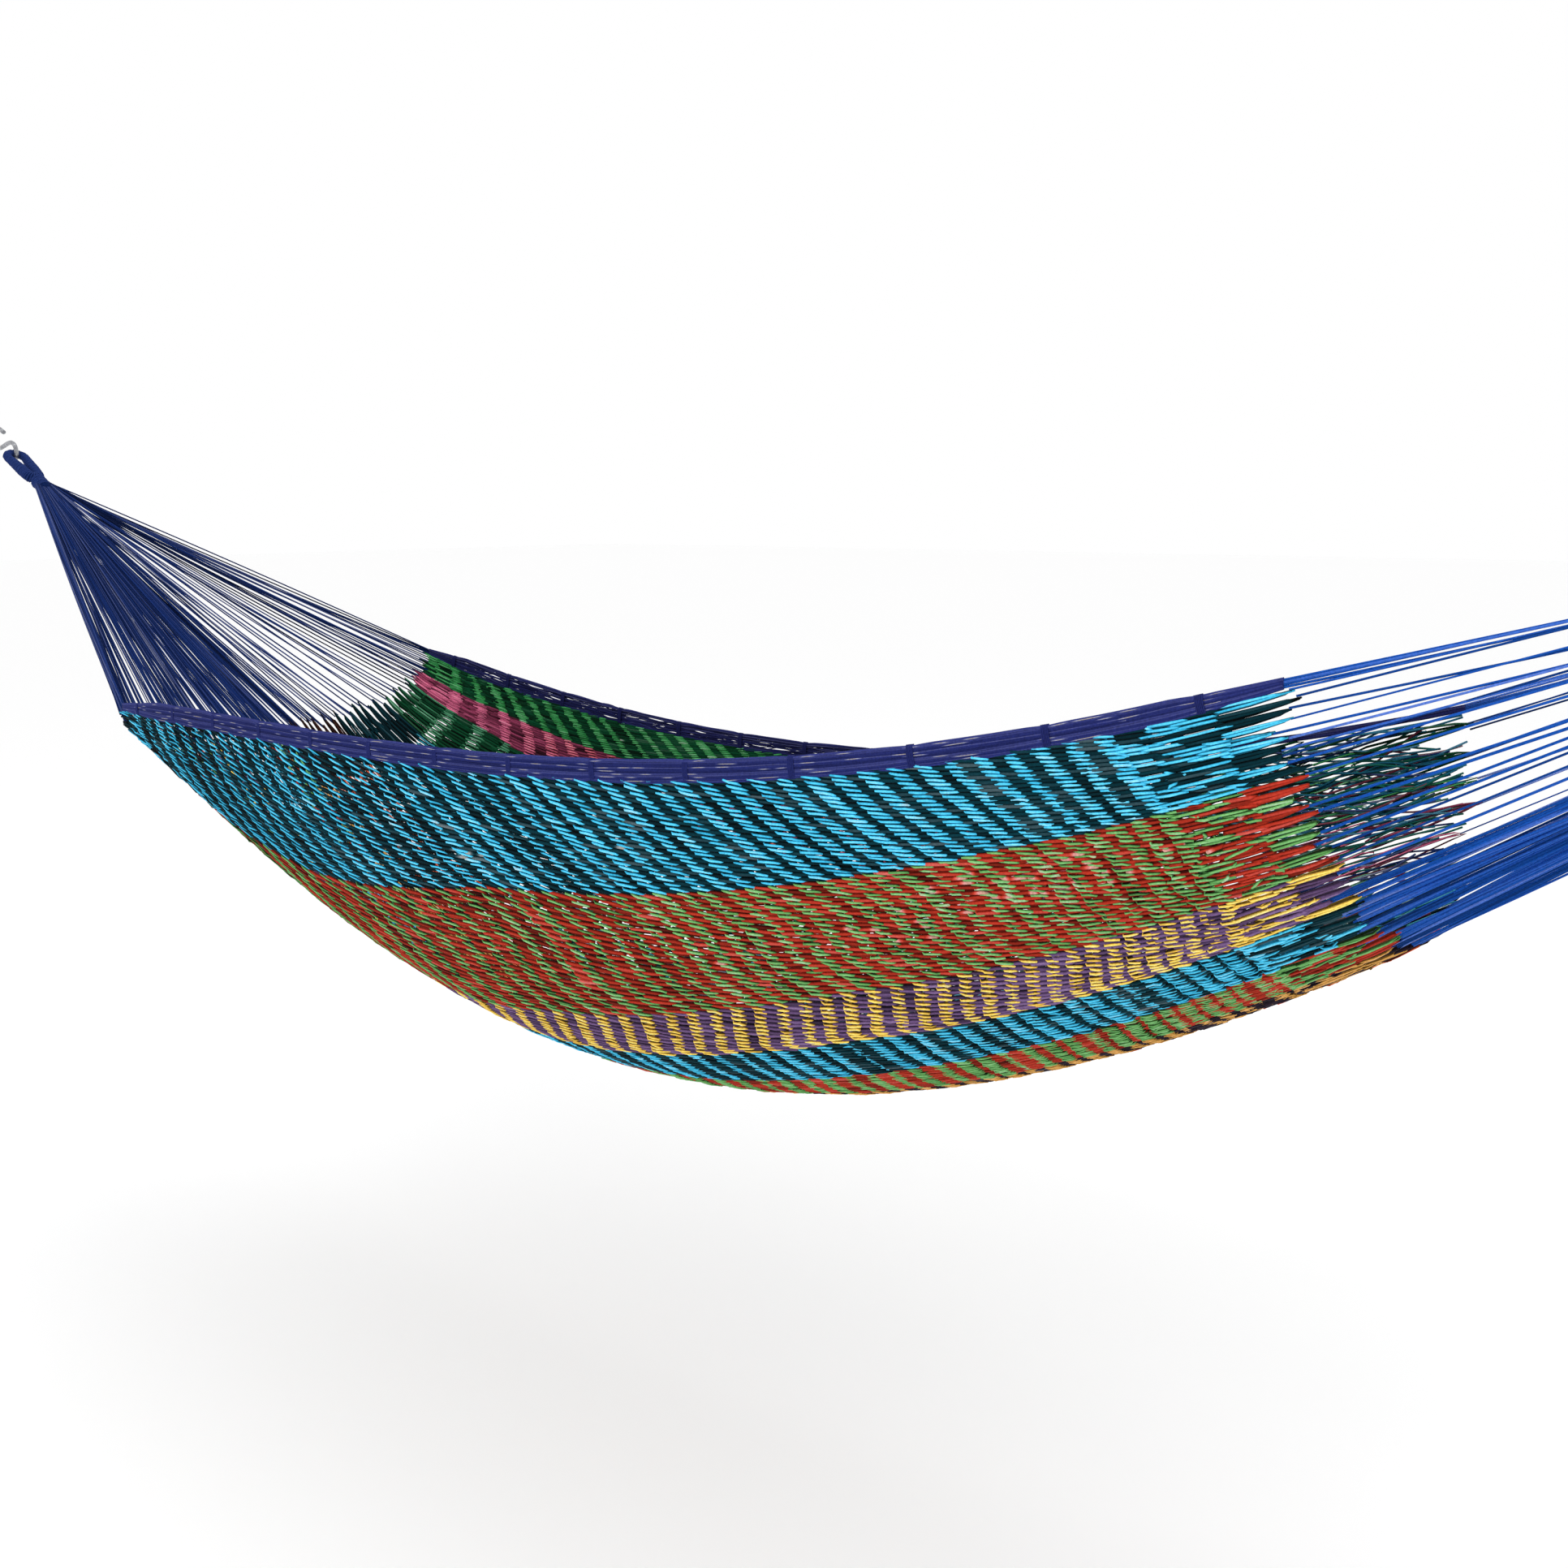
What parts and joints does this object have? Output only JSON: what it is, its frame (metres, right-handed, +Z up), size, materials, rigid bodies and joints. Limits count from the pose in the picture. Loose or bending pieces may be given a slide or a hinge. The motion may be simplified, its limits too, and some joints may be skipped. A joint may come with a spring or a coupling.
{
  "type": "rope hammock",
  "caption": "Woven string hammock with gathered ends, bundled edge cords and a wound loop at each end, hung between two S-hooks.",
  "frame": {"origin": "middle of the straight line between the two hook seats, the line about which the hammock swings", "axes": "+X along the hammock from the left hook to the right hook, +Y across it from the near edge to the far edge, +Z up"},
  "size_m": [3.845, 0.7575, 0.9804],
  "materials": {
    "hook_steel": "bent steel rod, slightly dull",
    "loop_blue": "tightly wound cotton cord",
    "arm_navy": "twisted cotton cords, matt",
    "edge_indigo": "bundled cotton cords tied at intervals",
    "net_cyan_near": "twisted cotton yarn in an open interlocked weave",
    "net_red_near": "twisted cotton yarn in an open interlocked weave",
    "net_yellow_near": "twisted cotton yarn in an open interlocked weave",
    "net_cyan_low": "twisted cotton yarn in an open interlocked weave",
    "net_red_low": "twisted cotton yarn in an open interlocked weave",
    "net_ochre_bottom": "twisted cotton yarn in an open interlocked weave",
    "net_orange_bottom": "twisted cotton yarn in an open interlocked weave",
    "net_teal_far": "twisted cotton yarn in an open interlocked weave",
    "net_green_low": "twisted cotton yarn in an open interlocked weave",
    "net_crimson_far": "twisted cotton yarn in an open interlocked weave",
    "net_green_far": "twisted cotton yarn in an open interlocked weave"
  },
  "bodies": {
    "hooks": {"hook_left": "hook_steel", "hook_right": "hook_steel"},
    "hammock": {"end_loop_left": "loop_blue", "end_loop_right": "loop_blue", "throat_binding_left": "loop_blue", "throat_binding_right": "loop_blue", "arm_cords_left_1": "arm_navy", "arm_cords_left_2": "arm_navy", "arm_cords_left_3": "arm_navy", "arm_cords_left_4": "arm_navy", "arm_cords_left_5": "arm_navy", "arm_cords_right_1": "arm_navy", "arm_cords_right_2": "arm_navy", "arm_cords_right_3": "arm_navy", "arm_cords_right_4": "arm_navy", "arm_cords_right_5": "arm_navy", "net_cyan_near": "net_cyan_near", "net_red_near": "net_red_near", "net_yellow_near_left": "net_yellow_near", "net_yellow_near_right": "net_yellow_near", "net_cyan_low_left": "net_cyan_low", "net_cyan_low_right": "net_cyan_low", "net_red_low": "net_red_low", "net_ochre_bottom": "net_ochre_bottom", "net_orange_bottom_left": "net_orange_bottom", "net_orange_bottom_right": "net_orange_bottom", "net_teal_far": "net_teal_far", "net_green_low": "net_green_low", "net_crimson_far": "net_crimson_far", "net_green_far": "net_green_far", "edge_cord_near": "edge_indigo", "edge_cord_far": "edge_indigo", "tie_near_01": "edge_indigo", "tie_near_02": "edge_indigo", "tie_near_03": "edge_indigo", "tie_near_04": "edge_indigo", "tie_near_05": "edge_indigo", "tie_near_06": "edge_indigo", "tie_near_07": "edge_indigo", "tie_near_08": "edge_indigo", "tie_near_09": "edge_indigo", "tie_near_10": "edge_indigo", "tie_near_11": "edge_indigo", "tie_near_12": "edge_indigo", "tie_near_13": "edge_indigo", "tie_near_14": "edge_indigo", "tie_far_01": "edge_indigo", "tie_far_02": "edge_indigo", "tie_far_03": "edge_indigo", "tie_far_04": "edge_indigo", "tie_far_05": "edge_indigo", "tie_far_06": "edge_indigo", "tie_far_07": "edge_indigo", "tie_far_08": "edge_indigo", "tie_far_09": "edge_indigo", "tie_far_10": "edge_indigo", "tie_far_11": "edge_indigo", "tie_far_12": "edge_indigo", "tie_far_13": "edge_indigo", "tie_far_14": "edge_indigo"}
  },
  "joints": [
    {"name": "swing", "type": "hinge", "parent": "hooks", "child": "hammock", "pos_m": [0, 0, 0], "axis": [1, 0, 0], "range_deg": [-30, 30]}
  ]
}
